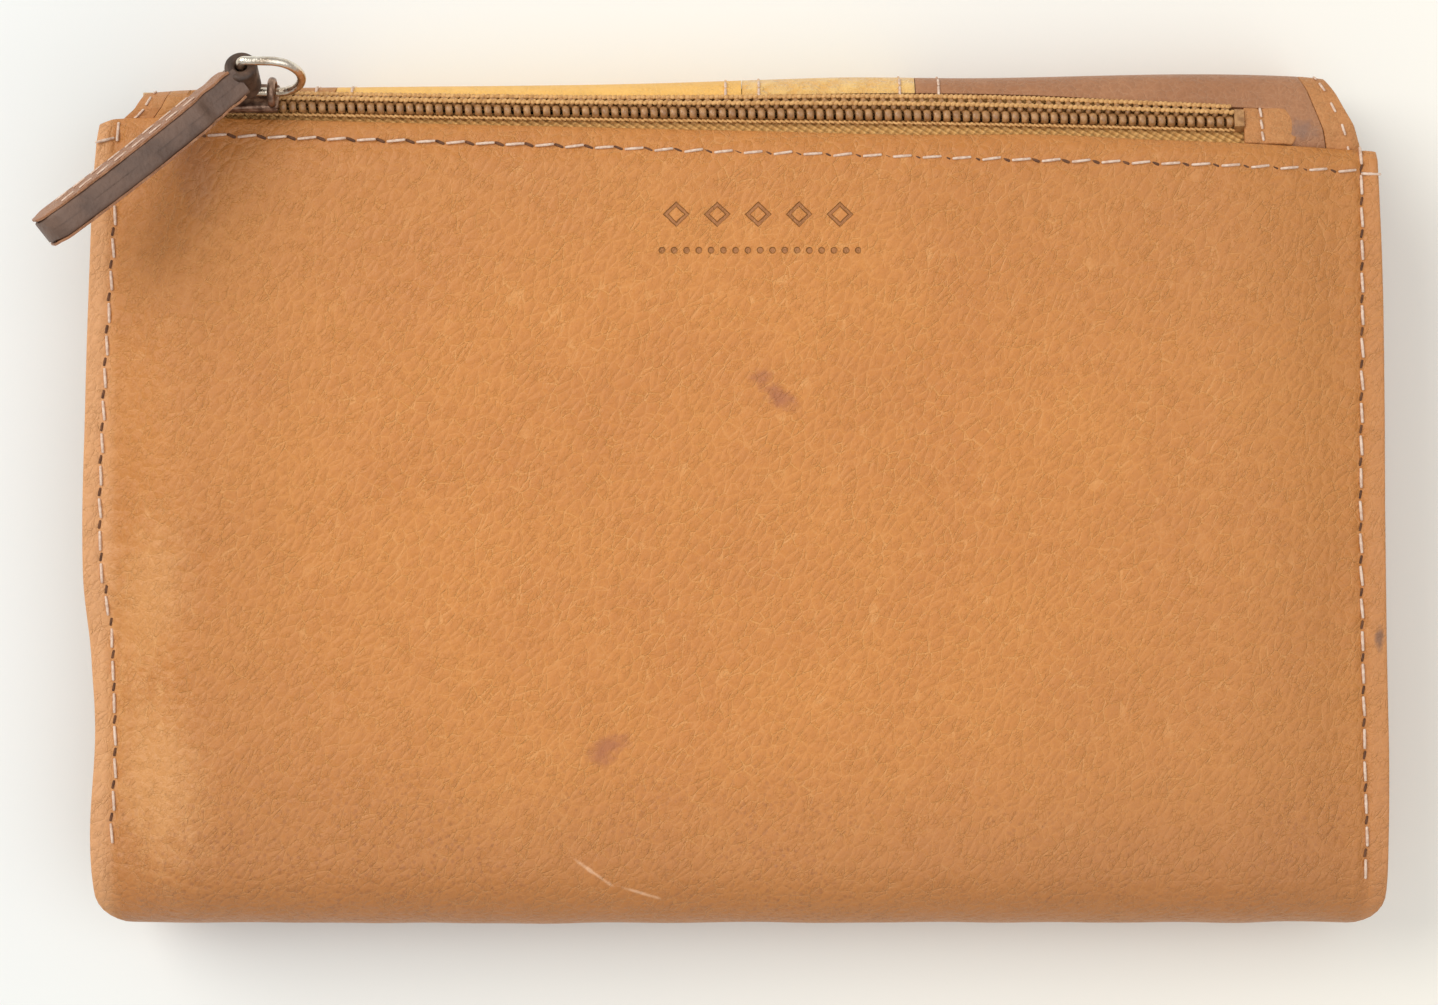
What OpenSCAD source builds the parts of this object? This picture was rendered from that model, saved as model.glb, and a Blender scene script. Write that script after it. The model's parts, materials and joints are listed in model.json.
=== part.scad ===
// Leather flap pouch with a zipped pocket on its back.
// It lies on its closed flap with the back up: X runs along the zip, +Y points
// to the top edge, Z is up, and the origin is on the flap's outer face.

/* [Body] */
// Width of the back panel at its widest
body_w = 160.6; // [160:0.2:162]
// Distance from the origin to the outside of the bottom fold
bottom_reach = 52.7; // [52:0.1:54]
// Height of the closed pouch above the flap's outer face
total_h = 20.4; // [20.2:0.1:21]
// Thickness of the main leather
leather_t = 1.2; // [1.1:0.05:1.25]
// Underside of the front panel when the flap is closed
front_z = 4.2; // [4.2:0.1:4.4]
// Where the top edge of the back panel starts at the left
lip_left_y = 46.6; // [46.2:0.1:46.6]
// Where the top edge of the back panel ends at the right
lip_right_y = 43; // [42.6:0.1:43.1]

/* [Flap] */
// Distance from the origin to the outside of the top edge
spine_y = 52.4; // [52.4:0.1:53]
// Half of the flap's width
flap_half_w = 73.2; // [73:0.1:73.6]
// Distance from the origin to the flap's free edge
flap_reach = 43; // [41:0.5:44]
// Thickness of the flap's leather
flap_t = 1; // [0.9:0.05:1]
// Thickness of the flap's lining
lining_t = 0.5; // [0.4:0.1:0.5]
// Width of the narrow edge strips round the flap
edging_w = 3.4; // [3:0.1:4]
// Seam between the tan and the light patch
seam_tan = -49.2; // [-52:0.1:-46]
// Seam between the light and the suede patch
seam_light = 0.8; // [0.4:0.1:3]
// Seam between the suede and the brown patch
seam_suede = 22.2; // [20:0.1:26]

/* [Zip] */
// Turn of the zip line in plan, in degrees
zip_turn = -1; // [-1.1:0.1:-0.9]
// Roll of the zip towards the top edge, in degrees
zip_roll = 25; // [24:0.5:26]
// Y of the chain's centre line above the origin
zip_y = 47.3; // [47.2:0.1:47.4]
// Height of the top of the tape at the chain's centre line
zip_z = 17; // [16.9:0.05:17.05]
// Half of the width of the closed chain
chain_half = 1.2; // [1.1:0.05:1.2]
// Height of the coils above the tape
coil_h = 1.6; // [1.4:0.1:1.6]
// Centre of the slider along the zip when the zip is shut
slider_x = -60; // [-60.5:0.1:-59.8]

/* [Pull] */
// Diameter of the ring's wire
wire_d = 1.1; // [0.9:0.1:1.1]
// Length of the ring's straight bar
bar_len = 7; // [6.8:0.1:7.2]
// Length of the leather pull from the bar to its tip
pull_len = 31; // [26:0.5:31]
// Width of the leather pull
pull_w = 7; // [6.5:0.5:7]
// Thickness of the doubled leather
pull_t = 3.3; // [2.8:0.1:3.3]

/* [Snap] */
// Diameter of both halves of the snap
snap_d = 14; // [12:1:16]
// Distance of the snap from the origin, towards the bottom fold
snap_y = -28; // [-32:1:-20]

/* [Hidden] */
$fn = 48;

half_w = body_w / 2;
back_in = total_h - leather_t;
front_in = front_z + leather_t;
fold_r = (total_h - front_z) / 2;
fold_y = -bottom_reach + fold_r;
fold_z = (total_h + front_z) / 2;
lip_x = 77;
lip_drop = 0.175;
droop_y = 41;
lip_turn = atan2(lip_right_y - lip_left_y, 2 * lip_x);

gusset_x = half_w - 2;
gusset_t = 1.2;
inner_x = gusset_x - gusset_t;
panel_bottom = -44;
backing_z = 13.4;
backing_t = 0.6;
card_t = 0.6;
card_gap = 0.1;
fabric_t = 0.4;

edge_x = flap_half_w - edging_w;
crease_gap = 1;
spine_top = 15;
spine_in = spine_y - flap_t;
flap_bottom = -flap_reach;
flap_corner_r = 8;

tape_t = 0.5;
coil_gap = 0.35;
zip_left = -66.5;
zip_right = 62.8;
root_off = 1.35;

stitch_w = 0.5;
stitch_h = 0.3;
stitch_len = 2.4;
stitch_lift = 0.06;

slider_len = 8.2;
slider_half = 2;
plate_t = 0.8;
plate_z = coil_h + 0.3;
bail_x = 3.35;
ring_z = 3.5;
ring_straight = 3.6;
bar_x = 0.2;

// A point on the arc with centre c, radius r and angle a
function arc_point(c, r, a) = [c[0] + r * cos(a), c[1] + r * sin(a)];
// Points along an arc from angle a0 to a1
function arc_points(c, r, a0, a1, steps) =
    [for (i = [0 : steps]) arc_point(c, r, a0 + (a1 - a0) * i / steps)];
// Y of the lip at x
function lip_at(x) = lip_left_y + (x + lip_x) / (2 * lip_x) * (lip_right_y - lip_left_y);
// Height of the back panel's outer face at y
function back_at(y) = total_h - max(0, y - droop_y) * lip_drop;
// Euler angles of the frame whose X axis is u and whose Z axis is w
function frame_angles(u, w) = [atan2(cross(w, u)[2], w[2]), -asin(u[2]), atan2(u[1], u[0])];
function unit(v) = v / norm(v);

// Draws a Y-Z profile and extrudes it along X from x0 to x1
module along_x(x0, x1) {
    translate([x0, 0, 0]) rotate([90, 0, 90]) linear_extrude(height = x1 - x0) children();
}

// Places its children in the zip's frame, with X along the chain and Z off the tape
module on_zip() {
    translate([0, zip_y, zip_z]) rotate([0, 0, zip_turn]) rotate([-zip_roll, 0, 0]) children();
}

module slab(x0, x1, y0, y1, z0, z1) {
    translate([x0, y0, z0]) cube([x1 - x0, y1 - y0, z1 - z0]);
}

// A straight piece of wire with round ends from p to q
module wire(p, q) {
    d = q - p;
    translate(p) rotate([0, acos(d[2] / norm(d)), atan2(d[1], d[0])]) cylinder(h = norm(d), d = wire_d);
    translate(p) sphere(d = wire_d);
    translate(q) sphere(d = wire_d);
}

// A row of thread stitches from p to q on a level face
module stitch_row(p, q, count) {
    run = q - p;
    for (i = [0 : count - 1]) {
        at = p + run * (i + 0.5) / count;
        translate(at) rotate([0, 0, atan2(run[1], run[0])])
            translate([-stitch_len / 2, -stitch_w / 2, 0]) cube([stitch_len, stitch_w, stitch_h]);
    }
}

// Outline of the back panel in plan, waisted a little towards the top
module wrap_outline() {
    corner_r = 4;
    polygon(concat(
        [[-half_w + 1.6, 44.4], [-half_w + 2.4, 45.9], [-lip_x, lip_left_y]],
        [[lip_x, lip_right_y], [half_w - 1.7, lip_right_y - 0.8], [half_w - 1.6, 41]],
        [[half_w - 0.4, 8], [half_w - 0.1, -28]],
        arc_points([half_w - corner_r - 0.1, -bottom_reach + corner_r], corner_r, 0, -90, 6),
        arc_points([-half_w + corner_r + 0.6, -bottom_reach + corner_r], corner_r, -90, -180, 6),
        [[-half_w, -9], [-half_w + 0.6, 27]]
    ));
}

// One piece of leather: back panel, bottom fold and front panel
module outer_wrap() {
    color("peru") intersection() {
        along_x(-half_w, half_w) polygon(concat(
            [[49, back_at(49)], [droop_y, total_h]],
            arc_points([fold_y, fold_z], fold_r, 90, 270, 16),
            [[49, front_z], [49, front_in]],
            arc_points([fold_y, fold_z], fold_r - leather_t, 270, 90, 16),
            [[droop_y, back_in], [49, back_at(49) - leather_t]]
        ));
        translate([0, 0, front_z - 1]) linear_extrude(height = total_h) wrap_outline();
    }
}

module gusset(side) {
    x0 = side < 0 ? -gusset_x : inner_x;
    color("sienna") along_x(x0, x0 + gusset_t) polygon(concat(
        [[droop_y - 0.5, back_in]],
        arc_points([fold_y, fold_z], fold_r - leather_t, 90, 270, 16),
        [[droop_y - 0.5, front_in]]
    ));
}

module left_gusset() { gusset(-1); }
module right_gusset() { gusset(1); }

module front_lining() {
    color("wheat") slab(-inner_x, inner_x, panel_bottom, 42, front_in, front_in + fabric_t);
}

// Card pockets stand one behind the other, each a step taller
module card_pocket(step, top_y) {
    z1 = backing_z - card_gap - step * (card_t + card_gap);
    color("peru") slab(-inner_x, inner_x, panel_bottom, top_y, z1 - card_t, z1);
}

module card_pocket_back() { card_pocket(0, 38); }
module card_pocket_middle() { card_pocket(1, 28); }
module card_pocket_front() { card_pocket(2, 18); }

module pocket_backing() {
    color("wheat") slab(-inner_x, inner_x, -51, 50.5, backing_z, backing_z + backing_t);
}

// Turned edge of the backing that climbs to the upper tape
module pocket_top_hem() {
    low = backing_z + backing_t;
    color("wheat") translate([0, 50.5, 0]) rotate([90, 0, 0]) linear_extrude(height = 0.45)
        polygon([[zip_left, low], [69, low], [69, low + 0.3], [zip_left, low + 1.3]]);
}

module zip_pocket_lining() {
    color("wheat") slab(-inner_x, inner_x, panel_bottom, droop_y - 1, back_in - fabric_t, back_in);
}

module lower_zip_tape() {
    color("tan") on_zip() translate([0, 0, -tape_t]) linear_extrude(height = tape_t)
        polygon([[zip_left - 3, -coil_gap], [zip_left - 3, -3.3], [68, -4.6], [68, -coil_gap]]);
}

module upper_zip_tape() {
    color("tan") on_zip() translate([0, 0, -tape_t]) linear_extrude(height = tape_t)
        polygon([[zip_left - 3, coil_gap], [zip_left - 3, 1.5], [-30, 2.3], [68, 4], [68, coil_gap]]);
}

module coil(side) {
    y0 = side < 0 ? -chain_half : coil_gap;
    color("goldenrod") on_zip()
        slab(zip_left + 2.2, zip_right - 1.6, y0, y0 + chain_half - coil_gap, 0, coil_h);
}

module lower_coil() { coil(-1); }
module upper_coil() { coil(1); }

module top_stops() {
    color("saddlebrown") on_zip() for (y0 = [-chain_half, coil_gap])
        slab(zip_left + 0.9, zip_left + 2.1, y0, y0 + chain_half - coil_gap, 0, coil_h - 0.1);
}

module bottom_stop() {
    color("saddlebrown") on_zip()
        slab(zip_right - 1.5, zip_right - 0.3, -chain_half, chain_half, 0, coil_h - 0.1);
}

module zip_end_tab() {
    color("peru") on_zip() slab(zip_right, zip_right + 5.4, -2, root_off - 0.1, 0, 1.1);
}

module lip_stitching() {
    inset = 2.9;
    count = 40;
    color("bisque") for (i = [0 : count - 1]) {
        x = -67 + i * 142 / (count - 1);
        y = lip_at(x) - inset;
        translate([x, y, back_at(y) + stitch_lift]) rotate([0, 0, lip_turn])
            translate([-stitch_len / 2, -stitch_w / 2, 0]) cube([stitch_len, stitch_w, stitch_h]);
    }
}

module left_side_stitching() {
    color("bisque") stitch_row(
        [-half_w + 3, 40.5, total_h], [-half_w + 2.6, -42.5, total_h], 21);
}

module right_side_stitching() {
    color("bisque") stitch_row(
        [half_w - 3.2, 40, total_h], [half_w - 2.8, -44, total_h], 21);
}

module end_tab_stitching() {
    color("bisque") on_zip() translate([zip_right + 1.8, 0, 1.1])
        rotate([0, 0, 90]) stitch_row([-1.8, 0, 0], [1.1, 0, 0], 1);
}

// Sheet of flap leather that lies on the upper tape, cut to x0..x1 at the crease
module root_patch(x0, x1, flare0, flare1) {
    intersection() {
        union() {
            on_zip() slab(-90, zip_left - 3.1, -6, 8, 0.05, 0.05 + flap_t);
            on_zip() slab(zip_left - 3.2, zip_right + 5.6, root_off, 8, 0.05, 0.05 + flap_t);
            on_zip() slab(zip_right + 5.5, 90, -6, 8, 0.05, 0.05 + flap_t);
        }
        linear_extrude(height = 30) intersection() {
            polygon([
                [-77.2, lip_at(-75) + 0.6], [-flap_half_w, spine_y - crease_gap],
                [flap_half_w, spine_y - crease_gap], [77.2, lip_at(77) + 0.6]
            ]);
            polygon([[x0 + flare0, 40], [x1 + flare1, 40], [x1, spine_y], [x0, spine_y]]);
        }
    }
}

module root_patch_tan() { color("burlywood") root_patch(-90, seam_tan, 0, 0); }
module root_patch_light() { color("navajowhite") root_patch(seam_tan, seam_light, 0, 0); }
module root_patch_suede() { color("sandybrown") root_patch(seam_light, seam_suede, 0, 0); }
module root_patch_brown() { color("rosybrown") root_patch(seam_suede, edge_x, 0, 3.6); }
module root_edging_right() { color("peru") root_patch(edge_x, 90, 3.6, 0); }

module spine_strip(x0, x1) {
    slab(x0, x1, spine_in, spine_y, crease_gap, spine_top);
}

module spine_patch_tan() { color("burlywood") spine_strip(-edge_x, seam_tan); }
module spine_patch_light() { color("navajowhite") spine_strip(seam_tan, seam_light); }
module spine_patch_suede() { color("sandybrown") spine_strip(seam_light, seam_suede); }
module spine_patch_brown() { color("rosybrown") spine_strip(seam_suede, edge_x); }
module spine_edging_left() { color("peru") spine_strip(-flap_half_w, -edge_x); }
module spine_edging_right() { color("peru") spine_strip(edge_x, flap_half_w); }

module spine_lining() {
    color("wheat") slab(-edge_x - 1, edge_x + 1, spine_in - lining_t, spine_in,
        flap_t + lining_t + 0.5, spine_top - 1);
}

// Outline of the flap below the lower crease, with rounded free corners
module flap_outline(inset) {
    r = flap_corner_r - inset;
    cx = flap_half_w - flap_corner_r;
    cy = flap_bottom + flap_corner_r;
    polygon(concat(
        [[-flap_half_w + inset, spine_y - crease_gap]],
        arc_points([-cx, cy], r, 180, 270, 8),
        arc_points([cx, cy], r, 270, 360, 8),
        [[flap_half_w - inset, spine_y - crease_gap]]
    ));
}

// Part of the flap's leather inside the edging, between x0 and x1
module flap_strip(x0, x1) {
    linear_extrude(height = flap_t) intersection() {
        flap_outline(edging_w);
        translate([x0, flap_bottom]) square([x1 - x0, spine_y - flap_bottom]);
    }
}

// Part of the edging round the flap, between x0 and x1
module flap_edging(x0, x1) {
    linear_extrude(height = flap_t) intersection() {
        difference() {
            flap_outline(0);
            flap_outline(edging_w);
        }
        translate([x0, flap_bottom - 1]) square([x1 - x0, spine_y - flap_bottom]);
    }
}

module flap_patch_tan() { color("burlywood") flap_strip(-edge_x, seam_tan); }
module flap_patch_light() { color("navajowhite") flap_strip(seam_tan, seam_light); }
module flap_patch_suede() { color("sandybrown") flap_strip(seam_light, seam_suede); }
module flap_patch_brown() { color("rosybrown") flap_strip(seam_suede, edge_x); }
module flap_edging_left() { color("peru") flap_edging(-flap_half_w, flap_corner_r - flap_half_w); }
module flap_edging_right() { color("peru") flap_edging(flap_half_w - flap_corner_r, flap_half_w); }

module flap_edging_bottom() {
    color("peru") flap_edging(flap_corner_r - flap_half_w, flap_half_w - flap_corner_r);
}

module flap_lining() {
    color("wheat") translate([0, 0, flap_t]) linear_extrude(height = lining_t) intersection() {
        flap_outline(1);
        translate([-flap_half_w, flap_bottom]) square([2 * flap_half_w, 50.2 - flap_bottom]);
    }
}

module flap_edge_stitching() {
    top = flap_t + lining_t;
    inset = edging_w - 1;
    x = flap_half_w - inset;
    y = flap_bottom + inset;
    color("bisque") {
        stitch_row([-x, 48, top], [-x, y + 6, top], 22);
        stitch_row([x, 48, top], [x, y + 6, top], 22);
        stitch_row([-x + 6, y, top], [x - 6, y, top], 34);
    }
}

module snap_stud() {
    base = flap_t + lining_t;
    color("goldenrod") translate([0, snap_y, base]) {
        cylinder(h = 1.2, d = snap_d);
        cylinder(h = 2.2, d = 4.6);
    }
}

module snap_socket() {
    depth = 1.25;
    color("goldenrod") translate([0, snap_y, front_z - depth]) difference() {
        cylinder(h = depth, d = snap_d);
        translate([0, 0, -1]) cylinder(h = 2.05, d = 5.2);
    }
}

// Body of the slider in the zip's frame: two plates, a post and the bail
module slider() {
    front = slider_x - slider_len / 2;
    color("dimgray") on_zip() {
        slab(front, front + slider_len, -slider_half, slider_half, plate_z, plate_z + plate_t);
        slab(front, front + slider_len, -slider_half, slider_half, -1.7, -1.7 + plate_t);
        slab(front, front + 1.4, -0.25, 0.25, -1, plate_z + 0.1);
        for (side = [-1, 1])
            slab(front, front + slider_len, side * 1.7 - 0.3, side * 1.7 + 0.3, coil_h - 0.1, plate_z + 0.1);
        translate([slider_x + bail_x, 0, plate_z + plate_t]) difference() {
            slab(-0.5, 0.5, -1.9, 1.9, -0.1, 2.6);
            slab(-1, 1, -1.1, 1.1, -0.2, 1.8);
        }
    }
}

// D-shaped ring that stands in the bail, in the zip's frame
module pull_ring() {
    bar = slider_x + bar_x;
    low = ring_z;
    high = ring_z + bar_len;
    bend = bar + ring_straight;
    color("silver") on_zip() {
        wire([bar, 0, low], [bar, 0, high]);
        wire([bar, 0, low], [bend, 0, low]);
        wire([bar, 0, high], [bend, 0, high]);
        translate([bend, 0, low + bar_len / 2]) rotate([90, 0, 0]) rotate([0, 0, -90])
            rotate_extrude(angle = 180) translate([bar_len / 2, 0]) circle(d = wire_d);
    }
}

// Middle and direction of the ring's bar, and the way the pull lies on its edge
bar_mid = [
    (slider_x + bar_x) * cos(zip_turn) - (ring_z + bar_len / 2) * sin(zip_roll) * sin(zip_turn),
    zip_y + (slider_x + bar_x) * sin(zip_turn) + (ring_z + bar_len / 2) * sin(zip_roll) * cos(zip_turn),
    zip_z + (ring_z + bar_len / 2) * cos(zip_roll)
];
pull_dir = unit([-0.75, -0.648, 0.24]);
pull_lean = [0.12, -0.14, 1];
pull_side = unit(pull_lean - pull_dir * (pull_lean * pull_dir));

module on_pull() {
    translate(bar_mid) rotate(frame_angles(pull_dir, pull_side)) children();
}

// Doubled strip of leather whose loop holds the ring's bar
module pull_tab() {
    loop_w = 5;
    loop_r = 2;
    neck = 6;
    color("saddlebrown") difference() {
        union() {
            on_pull() slab(1, neck, -pull_t / 2, pull_t / 2, -loop_w / 2, loop_w / 2);
            on_pull() slab(neck, pull_len, -pull_t / 2, pull_t / 2, -pull_w / 2, pull_w / 2);
            translate(bar_mid) rotate([0, 0, zip_turn]) rotate([-zip_roll, 0, 0])
                translate([0, 0, -loop_w / 2]) cylinder(h = loop_w, r = loop_r);
        }
        translate(bar_mid) rotate([0, 0, zip_turn]) rotate([-zip_roll, 0, 0])
            translate([0, 0, -6]) cylinder(h = 12, d = wire_d + 0.6);
    }
}

module pull_stitching() {
    lift = pull_t / 2;
    color("bisque") on_pull() for (side = [-1, 1])
        rotate([side * 90, 0, 0]) translate([0, 0, lift])
            stitch_row([7, 0, 0], [pull_len - 3, 0, 0], 7);
}

outer_wrap();
left_gusset();
right_gusset();
front_lining();
card_pocket_front();
card_pocket_middle();
card_pocket_back();
pocket_backing();
pocket_top_hem();
zip_pocket_lining();
lower_zip_tape();
upper_zip_tape();
lower_coil();
upper_coil();
top_stops();
bottom_stop();
zip_end_tab();
lip_stitching();
left_side_stitching();
right_side_stitching();
end_tab_stitching();
root_patch_tan();
root_patch_light();
root_patch_suede();
root_patch_brown();
root_edging_right();
spine_patch_tan();
spine_patch_light();
spine_patch_suede();
spine_patch_brown();
spine_edging_left();
spine_edging_right();
spine_lining();
flap_patch_tan();
flap_patch_light();
flap_patch_suede();
flap_patch_brown();
flap_edging_left();
flap_edging_right();
flap_edging_bottom();
flap_lining();
flap_edge_stitching();
snap_stud();
snap_socket();
slider();
pull_ring();
pull_tab();
pull_stitching();
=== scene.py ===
# Leather flap pouch, lying on its closed flap with the zipped back up.
import json
import math
import random

import bpy
from mathutils import Matrix, Vector, noise


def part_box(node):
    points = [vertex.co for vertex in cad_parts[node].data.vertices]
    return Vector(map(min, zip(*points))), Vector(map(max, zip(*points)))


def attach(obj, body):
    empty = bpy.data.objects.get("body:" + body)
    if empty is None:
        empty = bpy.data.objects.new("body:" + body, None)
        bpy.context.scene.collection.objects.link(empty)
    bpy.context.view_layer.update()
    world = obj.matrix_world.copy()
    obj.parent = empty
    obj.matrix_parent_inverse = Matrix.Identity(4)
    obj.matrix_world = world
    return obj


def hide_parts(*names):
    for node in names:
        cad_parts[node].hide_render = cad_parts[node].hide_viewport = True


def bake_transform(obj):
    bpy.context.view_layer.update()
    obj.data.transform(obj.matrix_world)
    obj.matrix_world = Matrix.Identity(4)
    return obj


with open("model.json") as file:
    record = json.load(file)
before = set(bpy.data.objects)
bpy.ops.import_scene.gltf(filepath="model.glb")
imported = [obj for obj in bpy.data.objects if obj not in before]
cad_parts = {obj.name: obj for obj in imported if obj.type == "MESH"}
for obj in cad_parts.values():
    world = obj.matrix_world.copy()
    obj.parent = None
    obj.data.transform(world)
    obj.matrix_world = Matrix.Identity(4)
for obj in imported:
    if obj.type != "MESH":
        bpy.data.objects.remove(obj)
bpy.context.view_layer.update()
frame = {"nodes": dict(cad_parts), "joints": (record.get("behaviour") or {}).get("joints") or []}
mm = 0.001
dice = random.Random(7)

print("stage: camera and light")
view = {"x": -2.0, "y": -0.4, "distance": 400, "width": 175.7, "sensor": 36}
lights = [
    {"name": "window", "at": (-0.8, 0.5, 0.85), "size": 1.0, "power": 9.0, "colour": (1, 0.96, 0.9)},
    {"name": "skyPanel", "at": (0.45, -0.25, 1.45), "size": 1.8, "power": 8.8, "colour": (0.98, 0.98, 1)},
]
room = {"colour": (1, 0.985, 0.96, 1), "strength": 0.5}


def box(node):
    low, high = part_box(node)
    return low / mm, high / mm


wrapLow, wrapHigh = box("outer_wrap")
topZ, frontZ, bottomY = wrapHigh.z, wrapLow.z, wrapLow.y
flapEnd = box("flap_edging_bottom")[0].y
flapHalf = box("spine_edging_right")[1].x
seamTan = box("flap_patch_light")[0].x
seamLight = box("flap_patch_suede")[0].x
seamSuede = box("flap_patch_brown")[0].x

joints = {joint["name"]: joint for joint in frame["joints"]}
zipAlong = Vector(joints["zip_slide"]["axis"]).normalized()
zipUp = Vector(joints["pull_swing"]["axis"]).normalized()
zipAcross = zipUp.cross(zipAlong).normalized()
barMid = Vector(joints["pull_swing"]["pos_m"]) / mm
bailPoint = Vector(joints["ring_swing"]["pos_m"]) / mm
ringHalf = (barMid - bailPoint).dot(zipUp)
zipPlate = {"ringHeight": 3.5, "bailAhead": 3.35}
sliderMid = bailPoint - zipAlong * zipPlate["bailAhead"] - zipUp * zipPlate["ringHeight"]
zipFrom = (box("lower_coil")[0].x - sliderMid.x) / zipAlong.x
zipTo = (box("lower_coil")[1].x - sliderMid.x) / zipAlong.x


def onZip(along, across, up):
    return sliderMid + zipAlong * along + zipAcross * across + zipUp * up


def smooth(low, high, value):
    t = min(1, max(0, (value - low) / (high - low)))
    return t * t * (3 - 2 * t)


def lerp(a, b, t):
    return a + (b - a) * t


def along(points, value):
    # a smooth curve through a few (place, value) pairs
    last = len(points) - 1
    k = 0
    while k < last - 1 and value > points[k + 1][0]:
        k += 1
    (p0, v0), (p1, v1) = points[k], points[k + 1]
    before, after = points[max(0, k - 1)], points[min(last, k + 2)]
    slope0 = (v1 - before[1]) / (p1 - before[0])
    slope1 = (after[1] - v0) / (after[0] - p0)
    gap = p1 - p0
    t = min(1, max(0, (value - p0) / gap))
    rise = t * t * (3 - 2 * t)
    return lerp(v0, v1, rise) + gap * t * (1 - t) * (slope0 * (1 - t) - slope1 * t)


def curve(a, b, c, t):
    # from a to c, drawn towards b
    return (1 - t) ** 2 * a + 2 * t * (1 - t) * b + t * t * c


def relief(x, y, size, depth, seed=0):
    return noise.noise(Vector((x / size, y / size, seed + 0.5))) * depth


def deselect():
    for piece in bpy.context.selected_objects:
        piece.select_set(False)


def pick(piece):
    deselect()
    piece.select_set(True)
    bpy.context.view_layer.objects.active = piece
    return piece


def useModifier(piece, kind, **settings):
    pick(piece)
    made = piece.modifiers.new(kind.lower(), kind)
    for name, value in settings.items():
        setattr(made, name, value)
    bpy.ops.object.modifier_apply(modifier=made.name)


def setName(name):
    piece = bpy.context.object
    piece.name = name
    piece.data.name = name
    return piece


def mendMesh(piece, merge, flip, outward):
    pick(piece)
    bpy.ops.object.mode_set(mode="EDIT")
    bpy.ops.mesh.select_all(action="SELECT")
    if merge:
        bpy.ops.mesh.remove_doubles(threshold=merge)
    if outward:
        bpy.ops.mesh.normals_make_consistent(inside=False)
    if flip:
        bpy.ops.mesh.flip_normals()
    bpy.ops.object.mode_set(mode="OBJECT")


def sheetPiece(name, columns, rows, place, flip=False, merge=0, outward=False):
    # a grid whose corners are carried to their places in millimetres
    deselect()
    bpy.ops.mesh.primitive_grid_add(x_subdivisions=columns, y_subdivisions=rows, size=1)
    piece = setName(name)
    for corner in piece.data.vertices:
        corner.co = Vector(place(corner.co.x + 0.5, corner.co.y + 0.5)) * mm
    if flip or merge or outward:
        mendMesh(piece, merge, flip, outward)
    return piece


def thicken(piece, thickness, round=0):
    # a wall inwards from the faces, with its edges rounded
    useModifier(piece, "SOLIDIFY", thickness=thickness * mm, offset=-1)
    if round:
        useModifier(piece, "BEVEL", width=round * mm, segments=3, limit_method="ANGLE", angle_limit=1.0)
    pick(piece)
    bpy.ops.object.shade_smooth_by_angle(angle=1.1)


def copiesOf(template, name, places):
    # the template's mesh once at each matrix, joined into one piece; the template goes
    made = []
    for place in places:
        copy = template.copy()
        copy.data = template.data.copy()
        copy.data.transform(place)
        bpy.context.scene.collection.objects.link(copy)
        made.append(copy)
    bpy.data.objects.remove(template)
    deselect()
    for copy in made:
        copy.select_set(True)
    bpy.context.view_layer.objects.active = made[0]
    bpy.ops.object.join()
    return setName(name)


def frameAt(point, xAxis, zAxis):
    # a matrix whose X runs along xAxis and whose Z leans as near zAxis as it can, at a point in millimetres
    x = Vector(xAxis).normalized()
    y = Vector(zAxis).cross(x).normalized()
    z = x.cross(y)
    turn = Matrix((x, y, z)).transposed().to_4x4()
    return Matrix.Translation(Vector(point) * mm) @ turn


def bead(length, width, height, segments=8, rings=6):
    # a round-ended capsule along X, a few dozen faces
    deselect()
    bpy.ops.mesh.primitive_uv_sphere_add(segments=segments, ring_count=rings, radius=0.5 * mm)
    piece = bpy.context.object
    straight = max(0, length - width) / 2 * mm
    for corner in piece.data.vertices:
        x, y, z = corner.co
        side = 1 if z > 1e-9 else -1 if z < -1e-9 else 0
        corner.co = (z * width + side * straight, y * width, x * height)
    bpy.ops.object.shade_smooth()
    return piece


bpy.ops.object.camera_add(location=(view["x"] * mm, view["y"] * mm, (topZ + view["distance"]) * mm))
camera = setName("camera")
camera.data.sensor_width = view["sensor"]
camera.data.lens = view["sensor"] * view["distance"] / view["width"]
camera.data.clip_start = 0.01
bpy.context.scene.camera = camera

for lamp in lights:
    bpy.ops.object.light_add(type="AREA", location=lamp["at"])
    lit = bpy.context.object
    lit.name = lamp["name"]
    lit.data.shape = "DISK"
    lit.data.size = lamp["size"]
    lit.data.energy = lamp["power"]
    lit.data.color = lamp["colour"]
    lit.rotation_euler = (-Vector(lamp["at"])).to_track_quat("-Z", "Y").to_euler()

world = bpy.data.worlds.new("room")
bpy.context.scene.world = world
world.use_nodes = True
background = world.node_tree.nodes["Background"]
background.inputs["Color"].default_value = room["colour"]
background.inputs["Strength"].default_value = room["strength"]
bpy.context.scene.view_settings.view_transform = "Standard"


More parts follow.
